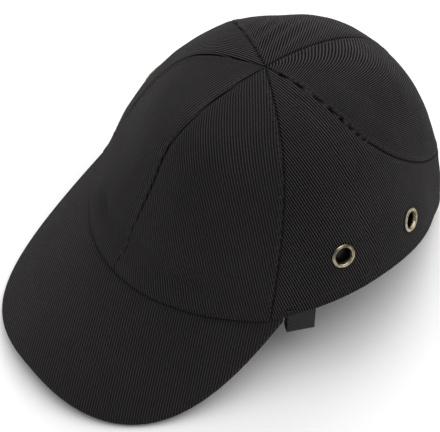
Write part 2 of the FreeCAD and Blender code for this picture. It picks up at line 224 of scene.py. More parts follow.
class Crown:
    """Outside surface of the crown, in millimetres."""

    def __init__(self):
        size = sizes()
        self.half_length = size["half_length"]
        self.half_width = size["half_width"]
        self.height = size["crown_height"]
        self.reach = size["peak_reach"]

    def outline(self, angle, inset=0.0):
        side, ahead = math.sin(angle), math.cos(angle)
        power = 2.0 / (FRONT_SQUARENESS if ahead > 0 else BACK_SQUARENESS)
        swell = 1 + OUTLINE_WAVE_3 * (math.cos(3 * angle) - math.cos(angle))
        swell += OUTLINE_WAVE_4 * (math.cos(4 * angle) - 1)
        behind = math.degrees(abs(math.remainder(angle, 2 * math.pi))) - BACK_FULL_FROM
        if behind > 0:
            swell += BACK_FULLNESS * math.sin(math.pi * behind / (180 - BACK_FULL_FROM)) ** 2
        x = signed_power(side, power) * (self.half_width - inset) * swell
        y = -signed_power(ahead, power) * (self.half_length - inset) * swell
        return x, y

    def peak_height(self, x, y):
        return PEAK_ROOT_HEIGHT + PEAK_SLOPE * (y + self.half_length) - PEAK_BEND * x * x

    def rim_height(self, angle):
        turn = abs(math.remainder(angle, 2 * math.pi))
        end = math.radians(PEAK_ANGLE)
        if turn <= end:
            return self.peak_height(*self.outline(turn))
        start = self.peak_height(*self.outline(end))
        along = min((turn - end) / (math.radians(RIM_FLAT_ANGLE) - end), 1.0)
        fall = start * (1 + math.cos(math.pi * along)) / 2
        return fall + RIM_SIDE_RISE * math.sin(math.pi * along) * (1 - along ** 4)

    def point(self, angle, s, inset=0.0):
        x, y = self.outline(angle, inset)
        low = self.rim_height(angle)
        power = 2.0 / wave(PROFILE_POWER, angle)
        inward = max(math.cos(math.pi * s / 2), 0.0) ** power
        upward = max(math.sin(math.pi * s / 2), 0.0) ** power
        inward *= 1 + wave(PROFILE_SWELL, angle) * math.sin(math.pi * s) \
            + wave(PROFILE_SWELL_2, angle) * math.sin(2 * math.pi * s)
        z = low + (self.height - inset - low) * upward
        return Vector((x * inward, POLE_Y + (y - POLE_Y) * inward, z))

    def normal(self, angle, s, step=0.002):
        s = min(max(s, 2 * step), NEAR_POLE - step)
        round_it = self.point(angle + step, s) - self.point(angle - step, s)
        up_it = self.point(angle, s + step) - self.point(angle, s - step)
        return round_it.cross(up_it).normalized()

    def moved(self, angle, s, offset):
        """Angle and share of the profile of the point that lies offset from a place on the surface."""
        target = self.point(angle, s) + offset
        step = 0.001
        for _ in range(7):
            by_angle = (self.point(angle + step, s) - self.point(angle - step, s)) / (2 * step)
            by_s = (self.point(angle, s + step) - self.point(angle, s - step)) / (2 * step)
            miss = target - self.point(angle, s)
            a, b, c = by_angle.dot(by_angle), by_angle.dot(by_s), by_s.dot(by_s)
            e, f = miss.dot(by_angle), miss.dot(by_s)
            angle += (c * e - b * f) / (a * c - b * b)
            s = max(s + (a * f - b * e) / (a * c - b * b), 1e-4)
        return angle, s

    def find(self, x, z):
        """Angle and share of the profile of the place at the back with that x and z."""
        angle, s = math.pi - x / self.half_width, max(z / self.height, 0.02) ** 1.3
        for _ in range(30):
            here = self.point(angle, s)
            step = 1e-4
            da = (self.point(angle + step, s) - here) / step
            ds = (self.point(angle, s + step) - here) / step
            off_x, off_z = x - here.x, z - here.z
            scale = da.x * ds.z - ds.x * da.z
            angle += (off_x * ds.z - ds.x * off_z) / scale
            s = max(s + (da.x * off_z - off_x * da.z) / scale, 1e-4)
        return angle, s


def front_side_seam(w):
    """Seam between a front and a side panel, w from the rim to the pole."""
    return math.radians(56.3 + 7.1 * w + 3.6 * math.sin(math.pi * w)), w


def rear_side_seam(w):
    """Seam from the pole down over the ear, then round to the middle of the back."""
    share = ((1 - w) ** 3, 3 * w * (1 - w) ** 2, 3 * w * w * (1 - w), w ** 3)
    angle = sum(k * handle[0] for k, handle in zip(share, REAR_SEAM_HANDLES))
    s = sum(k * handle[1] for k, handle in zip(share, REAR_SEAM_HANDLES))
    return math.radians(angle), s


def rear_side_seam_up(w):
    return rear_side_seam(1 - w)


def mirrored(line):
    return lambda w: (-line(w)[0], line(w)[1])


def arch_outline(margin, count=40):
    """Points (x, z) of the rear arch from the foot on the wearer's left to its top."""
    half, rise = ARCH_HALF_WIDTH + margin, ARCH_RISE + margin
    side = [(half, z) for z in steps(0.6, ARCH_BASE, max(count // 3, 2))]
    turn = [(half * math.cos(t), ARCH_BASE + rise * math.sin(t)) for t in steps(0, math.pi / 2, count)]
    return side + turn[1:]


def running(points):
    """Distance along a line of points, at each of them."""
    run = [0.0]
    for here, there in zip(points, points[1:]):
        run.append(run[-1] + (there - here).length)
    return run


def even_line(points):
    """Function that gives the item of points at a share of the way along, by distance."""
    run = running([place for _, place in points])

    def at(share):
        want = share * run[-1]
        low, high = 0, len(run) - 1
        while high - low > 1:
            middle = (low + high) // 2
            if run[middle] > want:
                high = middle
            else:
                low = middle
        part = (want - run[low]) / max(run[high] - run[low], 1e-9)
        first, second = points[low][0], points[high][0]
        return first[0] + (second[0] - first[0]) * part, first[1] + (second[1] - first[1]) * part
    return at


class Relief:
    """How far the sewn cloth stands out of the plain crown surface, in millimetres."""

    def __init__(self, crown):
        self.crown = crown
        size = sizes()
        self.depth, self.hollow, self.flare = size["seam_depth"], size["hollow"], size["flare"]
        self.pole = crown.point(0, 1)
        lines = {"front": lambda w: (0.0, w),
                 "back": lambda w: (math.pi, BACK_SEAM_END + (1 - BACK_SEAM_END) * w),
                 "low_back": lambda w: (math.pi, 0.1 + (BACK_SEAM_END - 0.1) * w),
                 "side_left": front_side_seam, "side_right": mirrored(front_side_seam),
                 "rear_left": rear_side_seam, "rear_right": mirrored(rear_side_seam),
                 "rim": lambda w: (2 * math.pi * w, 0.0)}
        self.trees = {name: self.tree(line, 2400 if name == "rim" else 700) for name, line in lines.items()}
        self.eyelets = []
        for degrees, s in EYELETS:
            for side in (1, -1):
                self.eyelets.append(crown.point(side * math.radians(degrees), s))

    def tree(self, line, count):
        tree = kdtree.KDTree(count)
        for i, w in enumerate(steps(0, 1, count)):
            tree.insert(self.crown.point(*line(w)), i)
        tree.balance()
        return tree

    def distance(self, name, point):
        return self.trees[name].find(point)[2]

    def seam(self, distance, topstitched):
        """Section across a seam: a drawn-in line, then a folded allowance or a soft swell."""
        drawn = -self.depth * bell(distance, 0.42)
        if topstitched:
            fold = 0.3 * smooth((distance - 0.4) / 0.5) * (1 - smooth((distance - 2.6) / 0.5))
            rows = -0.22 * sum(bell(distance - row, 0.26) for row in STITCH_ROWS)
            return drawn + fold + rows
        return drawn + 0.2 * bell(distance - 3.0, 2.4)

    def soft(self, angle, s, point):
        """The cloth's own shape between its seams."""
        turn = math.degrees(abs(math.remainder(angle, 2 * math.pi)))
        from_pole = smooth(((point - self.pole).length - 3) / 14)
        from_rim = self.distance("rim", point)
        signed = math.degrees(math.remainder(angle, 2 * math.pi))
        across_front = smooth((signed + 32) / 14) * (1 - smooth((signed - 26) / 20))
        rise = -1.25 * self.hollow * bell(from_rim - 15.0, 6.5) * across_front
        rise -= 1.1 * bell(signed + 19, 6) * bell(from_rim - 13.0, 4.5)
        lip = self.flare * (0.8 + 0.9 * smooth((turn - 22) / 16) * (1 - smooth((turn - 52) / 10)))
        rise += lip * bell(from_rim - 1.0, 5.0) * (1 - smooth((turn - 52) / 10))
        rise += 0.35 * bell(from_rim - 0.9, 0.9) * smooth((turn - 56) / 8)
        rise -= 0.2 * bell(from_rim - 6.0, 0.7) * smooth((turn - 56) / 8)
        for eyelet in self.eyelets:
            rise -= 0.45 * bell((point - eyelet).length - 6.5, 2.2)
        calm = smooth(from_rim / 12) * from_pole
        rise += calm * 0.5 * noise.noise(point / 27)
        rise += calm * 0.22 * noise.noise(point / 9 + Vector((7, 3, 1)))
        return rise + smooth(from_rim / 12) * self.ripples(point)

    def front_strength(self, point, least):
        """The centre-front seam is drawn in less near the rim."""
        return least + (1 - least) * smooth((self.distance("rim", point) - 22) / 40)

    def at(self, angle, s, point, seams):
        """The whole relief. seams pairs a seam's name with whether this side of it is topstitched."""
        from_pole = smooth(((point - self.pole).length - 3) / 14)
        rise = self.soft(angle, s, point)
        for name, topstitched in seams:
            strength = from_pole
            if name == "front":
                strength *= self.front_strength(point, 0.25)
            rise += self.seam(self.distance(name, point), topstitched) * strength
        return rise

    def seam_shade(self, point, seams):
        """How deep in a seam a point lies, from 0 to 1: the share of painted seam shade."""
        deep = 0.0
        for name, _ in seams:
            strength = self.front_strength(point, 0.2) if name == "front" else 1.0
            deep = max(deep, strength * bell(self.distance(name, point), 0.6))
        return deep

    def ripples(self, point):
        """Soft folds that the cloth keeps near the top of the back, on the wearer's right."""
        window = bell(math.hypot(point.x + 13, point.y - 20), 17) * smooth((-1 - point.x) / 5)
        return 0.7 * window * math.sin(2 * math.pi * (0.94 * point.x + 0.35 * point.y) / 7.2)


# ---------------------------------------------------------------- meshes

def spaced(total, fine, coarse, start_fine=True, end_fine=True):
    """Shares of the way along a line of that length: close lines near its ends, wider ones between."""
    close = [fine * k for k in range(9)]
    close += [close[-1] + fine * (1.6 + 1.1 * k) * (k + 1) / 1.5 for k in range(3)]
    start = [d / total for d in close] if start_fine else [0.0]
    end = [1 - d / total for d in reversed(close)] if end_fine else [1.0]
    gap = end[0] - start[-1]
    count = max(int(gap * total / coarse), 2)
    middle = [start[-1] + gap * k / count for k in range(1, count)]
    return start + middle + end


def grid(columns, rows, place):
    """Mesh with a vertex for each column and row. place(column, row) gives its point and
    its flat coordinates."""
    bm = bmesh.new()
    bmesh.ops.create_grid(bm, x_segments=len(columns) - 1, y_segments=len(rows) - 1, size=1)
    flat = {}
    for vertex in bm.verts:
        column = columns[round((vertex.co.x + 1) / 2 * (len(columns) - 1))]
        row = rows[round((vertex.co.y + 1) / 2 * (len(rows) - 1))]
        point, flat[vertex] = place(column, row)
        vertex.co = point * MM
    layer = bm.loops.layers.uv.new("cloth")
    for face in bm.faces:
        for loop in face.loops:
            loop[layer].uv = flat[loop.vert]
    return bm


def mark_seam_shade(bm, marks):
    """Stores how deep in a seam each vertex lies, for the painted shade in the cloth's colour."""
    layer = bm.verts.layers.float.new("seam_shade")
    for vertex in bm.verts:
        vertex[layer] = marks(vertex.co / MM)


def finish_piece(name, bm, material, body, node, thickness=0.0, close=0.0):
    """Object from a mesh, on its body, standing for its CAD node."""
    if close:
        bmesh.ops.remove_doubles(bm, verts=bm.verts, dist=close * MM)
    for face in bm.faces:
        face.smooth = True
    mesh = bpy.data.meshes.new(name)
    bm.to_mesh(mesh)
    bm.free()
    mesh.materials.append(material)
    piece = bpy.data.objects.new(name, mesh)
    bpy.context.scene.collection.objects.link(piece)
    if thickness:
        wall = piece.modifiers.new("Thickness", "SOLIDIFY")
        wall.thickness = thickness * MM
        wall.offset = -1.0
        wall.use_even_offset = False
        wall.use_rim = True
    if body:
        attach(piece, body)
    if node:
        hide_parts(node)
    return piece


def cut_size(bm):
    """Width, length and area of the flat cut that a mesh's flat coordinates describe, in metres."""
    layer = bm.loops.layers.uv.active
    across = [loop[layer].uv.x for face in bm.faces for loop in face.loops]
    along = [loop[layer].uv.y for face in bm.faces for loop in face.loops]
    width, height = max(across) - min(across), max(along) - min(along)
    area = sum(face.calc_area() for face in bm.faces)
    return (width, height), min(area, 0.98 * width * height)


def turned(u, v, grain):
    """Flat coordinates in metres, turned so that the cloth's lines run along the first."""
    turn = math.radians(grain)
    return (u * math.cos(turn) + v * math.sin(turn)) * MM, (v * math.cos(turn) - u * math.sin(turn)) * MM


class FlatMap:
    """Flat pattern of a panel: distance round the crown from its middle, and distance up."""

    def __init__(self, crown, middle, grain):
        self.crown, self.middle, self.grain = crown, middle, grain
        self.levels = steps(0.0, 1.0, 61)
        self.turns = steps(-1.9, 1.9, 121)
        self.up = running([crown.point(middle, s) for s in self.levels])
        self.round = [self.row(s) for s in self.levels]

    def row(self, s):
        run = running([self.crown.point(self.middle + turn, s) for turn in self.turns])
        zero = run[len(run) // 2]
        return [value - zero for value in run]

    def __call__(self, angle, s):
        level = min(max(s, 0.0), 1.0) * (len(self.levels) - 1)
        low = min(int(level), len(self.levels) - 2)
        part = level - low
        place = (angle - self.middle - self.turns[0]) / (self.turns[1] - self.turns[0])
        left = min(max(int(place), 0), len(self.turns) - 2)
        over = place - left
        across = []
        for row in (self.round[low], self.round[low + 1]):
            across.append(row[left] + (row[left + 1] - row[left]) * over)
        v = self.up[low] + (self.up[low + 1] - self.up[low]) * part
        return turned(across[0] + (across[1] - across[0]) * part, v, self.grain)


# ---------------------------------------------------------------- materials

WHOLE_NODES = ("TexNoise", "TexVoronoi", "TexCoord", "SeparateXYZ", "Mix", "Attribute")


def add_node(tree, kind, inputs=(), **settings):
    """Adds a node. inputs pairs sockets with values, or with the outputs that feed them."""
    node = tree.nodes.new("ShaderNode" + kind)
    for name, value in settings.items():
        setattr(node, name, value)
    for socket, value in dict(inputs).items():
        if isinstance(value, bpy.types.NodeSocket):
            tree.links.new(value, node.inputs[socket])
        else:
            node.inputs[socket].default_value = value
    return node if kind in WHOLE_NODES else node.outputs[0]


def calculate(tree, operation, *values):
    return add_node(tree, "Math", dict(enumerate(values)), operation=operation)


def blend_colour(tree, share, first, second):
    return add_node(tree, "Mix", {0: share, 6: first, 7: second}, data_type="RGBA").outputs[2]


def object_place(tree):
    return add_node(tree, "TexCoord").outputs["Object"]


def cloud(tree, place, scale, detail, roughness=0.5):
    """Noise between 0 and 1, with scale patches to the metre."""
    inputs = {"Vector": place, "Scale": scale, "Detail": detail, "Roughness": roughness}
    return add_node(tree, "TexNoise", inputs).outputs[0]


def ridges(tree, value):
    """One rounded ridge for each whole number."""
    return calculate(tree, "ABSOLUTE", calculate(tree, "SINE", calculate(tree, "MULTIPLY", value, math.pi)))


def times(colour_value, factor):
    return tuple(c * factor for c in colour_value[:3]) + (1.0,)


def start_material(name, **values):
    """Material with a Principled shader whose uniform values are set on its own sockets."""
    material = bpy.data.materials.new(name)
    material.use_nodes = True
    tree = material.node_tree
    tree.nodes.clear()
    shader = tree.nodes.new("ShaderNodeBsdfPrincipled")
    output = tree.nodes.new("ShaderNodeOutputMaterial")
    tree.links.new(shader.outputs[0], output.inputs["Surface"])
    for socket, value in values.items():
        shader.inputs[socket.replace("_", " ")].default_value = value
    return material, tree, shader


def relief_normal(tree, shader, height, depth, strength=1.0):
    """Feeds a height, whose full range is depth millimetres, to the shader's normal."""
    bump = add_node(tree, "Bump", {"Height": height, "Distance": depth * MM, "Strength": strength})
    tree.links.new(bump, shader.inputs["Normal"])


def flat_axes(tree):
    """The piece's flat coordinates: along the cloth's lines, and across them."""
    axes = add_node(tree, "SeparateXYZ", {0: add_node(tree, "UVMap", uv_map="cloth")})
    return axes.outputs[0], axes.outputs[1]


def cloth_lines(tree, pitch, bead, waver):
    """Height of parallel raised lines made of short yarn floats."""
    along, across = flat_axes(tree)
    place = object_place(tree)
    wander = cloud(tree, place, 60.0, 3.0)
    wavering = calculate(tree, "MULTIPLY", wander, waver)
    lines = calculate(tree, "MULTIPLY_ADD", across, 1 / (pitch * MM), wavering)
    number = calculate(tree, "FLOOR", lines)
    arch = ridges(tree, lines)
    run = calculate(tree, "MULTIPLY_ADD", number, 0.37, calculate(tree, "MULTIPLY", along, 1 / (bead * MM)))
    yarn = calculate(tree, "MULTIPLY_ADD", ridges(tree, run), 0.3, 0.7)
    return calculate(tree, "MULTIPLY", calculate(tree, "POWER", arch, 2.2), yarn), place


# Mean of the ridge share over the cloth, about which contrast works
MEAN_RIDGE = 0.37


def twill_cloth(name, pitch, contrast):
    """Cotton drill, black by its dye and woven as a steep twill: raised diagonal lines with
    dark grooves between them, a dry sheen at the edges, a few pale stray fibres and painted shade in the
    seams."""
    colours = bpy.context.scene.cap_colours
    material, tree, shader = start_material(
        name, Roughness=0.85, Sheen_Weight=0.05, Sheen_Roughness=0.4, Sheen_Tint=linear("#E0DCE4"), IOR=1.5,
        Specular_IOR_Level=0.04)
    woven, place = cloth_lines(tree, pitch, 1.1, 0.55)
    # How deep in a seam the cloth lies: this flattens the weave there and sets the painted shade.
    seam_shade = add_node(tree, "Attribute", attribute_name="seam_shade", attribute_type="GEOMETRY")
    shade = seam_shade.outputs["Fac"]
    height = calculate(tree, "MULTIPLY", woven, calculate(tree, "SUBTRACT", 1.0, shade))
    fading = cloud(tree, place, 28.0, 4.0)
    fleck = cloud(tree, place, 1400.0, 1.0)
    tone = calculate(tree, "MULTIPLY_ADD", fading, 0.5, 0.62)
    tone = calculate(tree, "MULTIPLY", tone, calculate(tree, "MULTIPLY_ADD", fleck, 0.9, 0.55))
    share = calculate(tree, "MULTIPLY", woven, tone)
    share = calculate(tree, "MULTIPLY_ADD", share, contrast, MEAN_RIDGE * (1 - contrast))
    cloth_colour = blend_colour(tree, share, linear(colours.cloth_groove), linear(colours.cloth_ridge))
    cells = add_node(tree, "TexVoronoi", {"Vector": place, "Scale": 55.0})
    sparse = calculate(tree, "GREATER_THAN", cells.outputs["Color"], 0.9)
    speck = calculate(tree, "LESS_THAN", cells.outputs["Distance"], 0.035)
    fibres = calculate(tree, "MULTIPLY", sparse, speck)
    cloth_colour = blend_colour(tree, calculate(tree, "MULTIPLY", fibres, 0.8), cloth_colour, linear(colours.lint))
    # Painted shade: where the cloth lies deep in a seam, its colour is drawn towards near-black.
    cloth_colour = blend_colour(tree, calculate(tree, "MULTIPLY", shade, 0.85), cloth_colour, linear("#020203"))
    tree.links.new(cloth_colour, shader.inputs["Base Color"])
    relief_normal(tree, shader, height, 0.6)
    return material


def ribbed_tape(name, hex_value, pitch, depth, sheen):
    """Narrow woven ribbon or tape: fine raised ribs across or along it and a low yarn lustre."""
    material, tree, shader = start_material(
        name, Roughness=0.7, Sheen_Weight=sheen, Sheen_Roughness=0.35, Specular_IOR_Level=0.12)
    height, place = cloth_lines(tree, pitch, 0.8, 0.15)
    shade = cloud(tree, place, 90.0, 3.0)
    tone = calculate(tree, "MULTIPLY", height, calculate(tree, "MULTIPLY_ADD", shade, 0.8, 0.6))
    cloth_colour = blend_colour(tree, tone, linear("#060607"), linear(hex_value))
    tree.links.new(cloth_colour, shader.inputs["Base Color"])
    relief_normal(tree, shader, height, depth)
    return material


def aged_brass(name):
    """Stamped and rolled brass, aged: a warm grey metal, brighter where it is rubbed,
    with fine turning marks and soft dark stains."""
    colours = bpy.context.scene.cap_colours
    material, tree, shader = start_material(name, Metallic=1.0)
    place = object_place(tree)
    stain = cloud(tree, place, 260.0, 5.0, 0.6)
    fine = cloud(tree, place, 2600.0, 2.0)
    share = add_node(tree, "MapRange", {0: stain, 1: 0.38, 2: 0.62, 3: 0.0, 4: 1.0})
    tree.links.new(blend_colour(tree, share, linear(colours.brass_dark), linear(colours.brass)),
                   shader.inputs["Base Color"])
    rough = calculate(tree, "MULTIPLY_ADD", fine, 0.16, calculate(tree, "MULTIPLY_ADD", share, -0.08, 0.24))
    tree.links.new(rough, shader.inputs["Roughness"])
    relief_normal(tree, shader, calculate(tree, "MULTIPLY_ADD", stain, 0.7, fine), 0.04)
    return material


def moulded_plastic(name, hex_value, roughness, grain):
    """Injection-moulded ABS: an even, slightly shiny skin with a fine spark-eroded grain."""
    material, tree, shader = start_material(name, IOR=1.53, Specular_IOR_Level=0.35)
    place = object_place(tree)
    skin = cloud(tree, place, 1 / (grain * MM), 2.0)
    patches = cloud(tree, place, 22.0, 3.0)
    base = linear(hex_value)
    tree.links.new(blend_colour(tree, patches, base, times(base, 1.35)), shader.inputs["Base Color"])
    tree.links.new(calculate(tree, "MULTIPLY_ADD", patches, 0.12, roughness), shader.inputs["Roughness"])
    relief_normal(tree, shader, skin, 0.05, 0.6)
    return material


def cell_foam(name, hex_value):
    """Closed-cell EVA foam, die-cut: matt, finely pitted, paler where cells are open."""
    material, tree, shader = start_material(name, Roughness=0.88, Specular_IOR_Level=0.3)
    place = object_place(tree)
    cells = add_node(tree, "TexVoronoi", {"Vector": place, "Scale": 1100.0}).outputs["Distance"]
    patches = cloud(tree, place, 40.0, 3.0)
    base = linear(hex_value)
    dark = times(base, 0.45)
    share = calculate(tree, "MULTIPLY", calculate(tree, "MULTIPLY_ADD", patches, 0.6, 0.7), cells)
    tree.links.new(blend_colour(tree, share, base, dark), shader.inputs["Base Color"])
    relief_normal(tree, shader, calculate(tree, "SUBTRACT", 1.0, cells), 0.12)
    return material


def looped_cloth(name, hex_value, loop):
    """Looped knit or hook-and-loop pile: small close-set loops, soft and matt."""
    material, tree, shader = start_material(
        name, Roughness=0.9, Sheen_Weight=0.12, Sheen_Roughness=0.5, Specular_IOR_Level=0.1)
    place = object_place(tree)
    loops = add_node(tree, "TexVoronoi", {"Vector": place, "Scale": 1 / (loop * MM), "Randomness": 0.7})
    distance = loops.outputs["Distance"]
    base = linear(hex_value)
    dark = times(base, 0.25)
    tree.links.new(blend_colour(tree, distance, base, dark), shader.inputs["Base Color"])
    relief_normal(tree, shader, calculate(tree, "SUBTRACT", 1.0, distance), 0.3)
    return material


def spun_thread(name):
    """Polyester sewing thread: three plies twisted together, with a slight lustre."""
    colours = bpy.context.scene.cap_colours
    material, tree, shader = start_material(name, Roughness=0.6, Sheen_Weight=0.03, Specular_IOR_Level=0.1)
    place = object_place(tree)
    plies = cloud(tree, place, 2400.0, 1.0)
    base = linear(colours.thread)
    dark = times(base, 0.4)
    tree.links.new(blend_colour(tree, plies, dark, base), shader.inputs["Base Color"])
    relief_normal(tree, shader, plies, 0.06)
    return material


def material_named(name):
    """One of the cap's materials, made when it is first asked for."""
    if name in bpy.data.materials:
        return bpy.data.materials[name]
    colours = bpy.context.scene.cap_colours
    pitch = sizes()["twill_pitch"]
    makers = {
        "Cotton twill, woven": lambda: twill_cloth(name, pitch, 1.35),
        "Cotton twill, woven, on the front": lambda: twill_cloth(name, pitch, 0.72),
        "Cotton twill, woven, on the peak": lambda: twill_cloth(name, pitch * 1.06, 0.68),
        "Brass, stamped and aged": lambda: aged_brass(name),
        "Grosgrain ribbon, woven": lambda: ribbed_tape(name, colours.ribbon, 1.3, 0.45, 0.05),
        "Cotton tape, woven": lambda: ribbed_tape(name, colours.tape, 0.9, 0.15, 0.06),
        "ABS, injection moulded": lambda: moulded_plastic(name, colours.shell, 0.34, 0.45),
        "HDPE sheet, die-cut": lambda: moulded_plastic(name, colours.board, 0.45, 0.8),
        "EVA foam, die-cut": lambda: cell_foam(name, colours.foam),
        "Cotton terry, knitted": lambda: looped_cloth(name, colours.brow, 0.9),
        "Nylon loop pile, knitted": lambda: looped_cloth(name, colours.tape, 0.6),
        "Polyester thread, spun": lambda: spun_thread(name),
    }
    return makers[name]()


# ---------------------------------------------------------------- crown

def patch(left, right, low, high):
    """Place in a four-sided patch of the crown from its four edges, each a function of a share."""
    corners = low(0.0), low(1.0), high(0.0), high(1.0)

    def place(p, q):
        result = []
        for axis in (0, 1):
            value = (1 - q) * low(p)[axis] + q * high(p)[axis] + (1 - p) * left(q)[axis] + p * right(q)[axis]
            value -= (1 - p) * (1 - q) * corners[0][axis] + p * (1 - q) * corners[1][axis]
            value -= (1 - p) * q * corners[2][axis] + p * q * corners[3][axis]
            result.append(value)
        return result
    return place


def panel_edges(crown):
    """The left half's panels: their edges, their distances across and up, and their seams."""
    side_foot, side_top = front_side_seam(0.0), front_side_seam(1.0)
    front = patch(lambda q: (0.0, q), front_side_seam,
                  lambda p: (side_foot[0] * p, 0.0), lambda p: (side_top[0] * p, 1.0))
    arch = [crown.find(x, z) for x, z in arch_outline(ARCH_MARGIN)]
    arch[-1] = (math.pi, arch[-1][1])
    low = [(angle, 0.0) for angle in steps(side_foot[0], arch[0][0], 60)] + arch
    low += [(math.pi, s) for s in steps(arch[-1][1], BACK_SEAM_END, 5)[1:]]
    seam = [rear_side_seam(w) for w in steps(0, 1, 160)]
    low_line, seam_line = (even_line([(place, crown.point(*place)) for place in line])
                           for line in (low, seam))
    seam_top = math.radians(REAR_SEAM_HANDLES[0][0])
    pole_share = 0.24

    def high_line(p):
        if p < pole_share:
            return side_top[0] + (seam_top - side_top[0]) * p / pole_share, 1.0
        return seam_line((p - pole_share) / (1 - pole_share))

    side = patch(front_side_seam, lambda q: (math.pi, BACK_SEAM_END), low_line, high_line)
    back = patch(rear_side_seam_up, lambda q: (math.pi, BACK_SEAM_END + (1 - BACK_SEAM_END) * q),
                 lambda p: (math.pi, BACK_SEAM_END), lambda p: (seam_top + (math.pi - seam_top) * p, 1.0))
    return {
        "front": (front, 100, 135, (("front", False), ("side_left", True))),
        "side": (side, 215, 125, (("side_left", False), ("rear_left", False), ("low_back", False))),
        "back": (back, 85, 190, (("rear_left", True), ("back", True))),
    }


GRAIN = {"front_left": 113, "front_right": 113, "side_left": 104, "side_right": 108,
         "back_left": 157, "back_right": 94}
MIDDLE = {"front": 28, "side": 85, "back": 140}


class CAP_OT_crown(bpy.types.Operator):
    """Add the six twill panels of the crown"""
    bl_idname = "cap.add_crown"
    bl_label = "Crown panels"

    def execute(self, context):
        size = sizes()
        crown = Crown()
        relief = Relief(crown)
        hole_radius = (size["eyelet_bore"] / 2 + 0.9) * MM
        for kind, (place, across, up, seams) in panel_edges(crown).items():
            for side, sign in (("left", 1), ("right", -1)):
                flat = FlatMap(crown, sign * math.radians(MIDDLE[kind]), GRAIN[kind + "_" + side])
                here = self.seams_of(kind, side, seams)

                def placed(p, q):
                    angle, s = place(p if sign > 0 else 1 - p, q)
                    angle *= sign
                    point = crown.point(angle, s)
                    return point + crown.normal(angle, s) * relief.at(angle, s, point, here), flat(angle, s)


                def in_hole(face):
                    middle = face.calc_center_median()
                    return any((middle - hole * MM).length < hole_radius for hole in relief.eyelets)

                columns = spaced(across, 0.42, 1.7, end_fine=kind != "side" or sign < 0,
                                 start_fine=kind != "side" or sign > 0)
                bm = grid(columns, spaced(up, 0.42, 1.7), placed)
                where = ", on the front" if kind == "front" else ""
                material = material_named("Cotton twill, woven" + where)
                mark_seam_shade(bm, lambda point: relief.seam_shade(point, here))
                bmesh.ops.delete(bm, geom=[face for face in bm.faces if in_hole(face)], context="FACES")
                cut, area = cut_size(bm)
                name = kind + "_panel_" + side
                piece = finish_piece("twill_" + name, bm, material, "cover", name,
                                     size["cloth"], close=0.01)
        return {"FINISHED"}

    def seams_of(self, kind, side, seams):
        """The same seams, named for this side. The centre-front seam's fold is on the right panel
        and the centre-back seam's on the left one."""
        result = []
        for name, topstitched in seams:
            if name == "front":
                topstitched = side == "right"
            if name == "back":
                topstitched = side == "left"
            result.append((name.replace("_left", "_" + side), topstitched))
        return result


# ---------------------------------------------------------------- tapes and binding

def tape_along(crown, relief, line, start, end, width, inset):
    """Mesh of a tape centred on a line of the crown, on its inside."""
    rows = steps(start, end, 70)
    run_at = running([crown.point(*line(w)) for w in rows])
    runs = dict(zip(rows, run_at))

    def placed(offset, w):
        angle, s = line(w)
        ahead = line(w + 0.002)
        run = (crown.point(*ahead) - crown.point(angle, s)).normalized()
        normal = crown.normal(angle, s)
        angle, s = crown.moved(angle, s, run.cross(normal) * offset)
        puff = 0.12 * math.sin(2 * math.pi * runs[w] / 3.0) * bell(abs(offset) - width / 2 + 1.6, 0.8)
        point = crown.point(angle, s)
        point -= crown.normal(angle, s) * (inset + puff - min(relief.soft(angle, s, point), 0.0))
        return point, (runs[w] * MM, offset * MM)
    return grid(steps(-width / 2, width / 2, 13), rows, placed), run_at[-1]


class CAP_OT_tapes(bpy.types.Operator):
    """Add the tapes over the seams and the hem band, inside the crown"""
    bl_idname = "cap.add_tapes"
    bl_label = "Seam tapes"

    def execute(self, context):
        crown = Crown()
        relief = Relief(crown)
        size = sizes()
        material = material_named("Cotton tape, woven")
        lines = {"front": (lambda w: (0.0, w), 0.11), "back": (lambda w: (math.pi, w), 0.26),
                 "side_left": (front_side_seam, 0.11), "side_right": (mirrored(front_side_seam), 0.11),
                 "rear_left": (rear_side_seam_up, 0.2), "rear_right": (mirrored(rear_side_seam_up), 0.2)}
        for name, (line, start) in lines.items():
            end = 0.86 if name.startswith("rear") else 0.80
            bm, run = tape_along(crown, relief, line, start, end, size["tape"], TAPE_INSET)
            piece = finish_piece("tape_" + name, bm, material, "cover", "seam_tape_" + name,
                                 0.45)
        self.hem(crown, relief, material)
        return {"FINISHED"}

    def hem(self, crown, relief, material):
        turns = steps(-148, 148, 260)
        run_at = running([crown.point(math.radians(turn), 0) for turn in turns])
        runs = dict(zip(turns, run_at))

        def placed(turn, q):
            angle = math.radians(turn)
            s = 0.004 + (0.065 - 0.004) * q
            wrinkle = 0.18 * math.sin(runs[turn] / 3.1) * bell(q - 0.5, 0.35)
            edge = 0.25 * (bell(q, 0.12) + bell(q - 1, 0.12))
            point = crown.point(angle, s)
            drawn = min(relief.soft(angle, s, point), 0.0)
            point -= crown.normal(angle, s) * (HEM_INSET + wrinkle - edge - drawn)
            return point, (runs[turn] * MM, q * HEM_WIDTH * MM)
        bm = grid(turns, steps(0, 1, 13), placed)
        piece = finish_piece("hem_band", bm, material, "cover", "rim_facing", 0.6)


def sweep_band(path, section):
    """Closed band: section holds its offsets out of and along the surface at each place on the path."""
    run = running([item[0] for item in path])
    columns = list(range(len(path)))
    rows = list(range(len(section) + 1))
    size_round = sum(math.dist(a, b) for a, b in zip(section, section[1:] + section[:1]))

    def placed(i, j):
        point, out, away = path[i]
        up, over = section[j % len(section)]
        return point + out * up + away * over, (run[i] * MM, j / len(section) * size_round * MM)
    bm = grid(columns, rows, placed)
    bmesh.ops.remove_doubles(bm, verts=bm.verts, dist=0.001 * MM)
    bmesh.ops.holes_fill(bm, edges=[edge for edge in bm.edges if edge.is_boundary], sides=0)
    bmesh.ops.recalc_face_normals(bm, faces=bm.faces)
    return bm, run[-1]


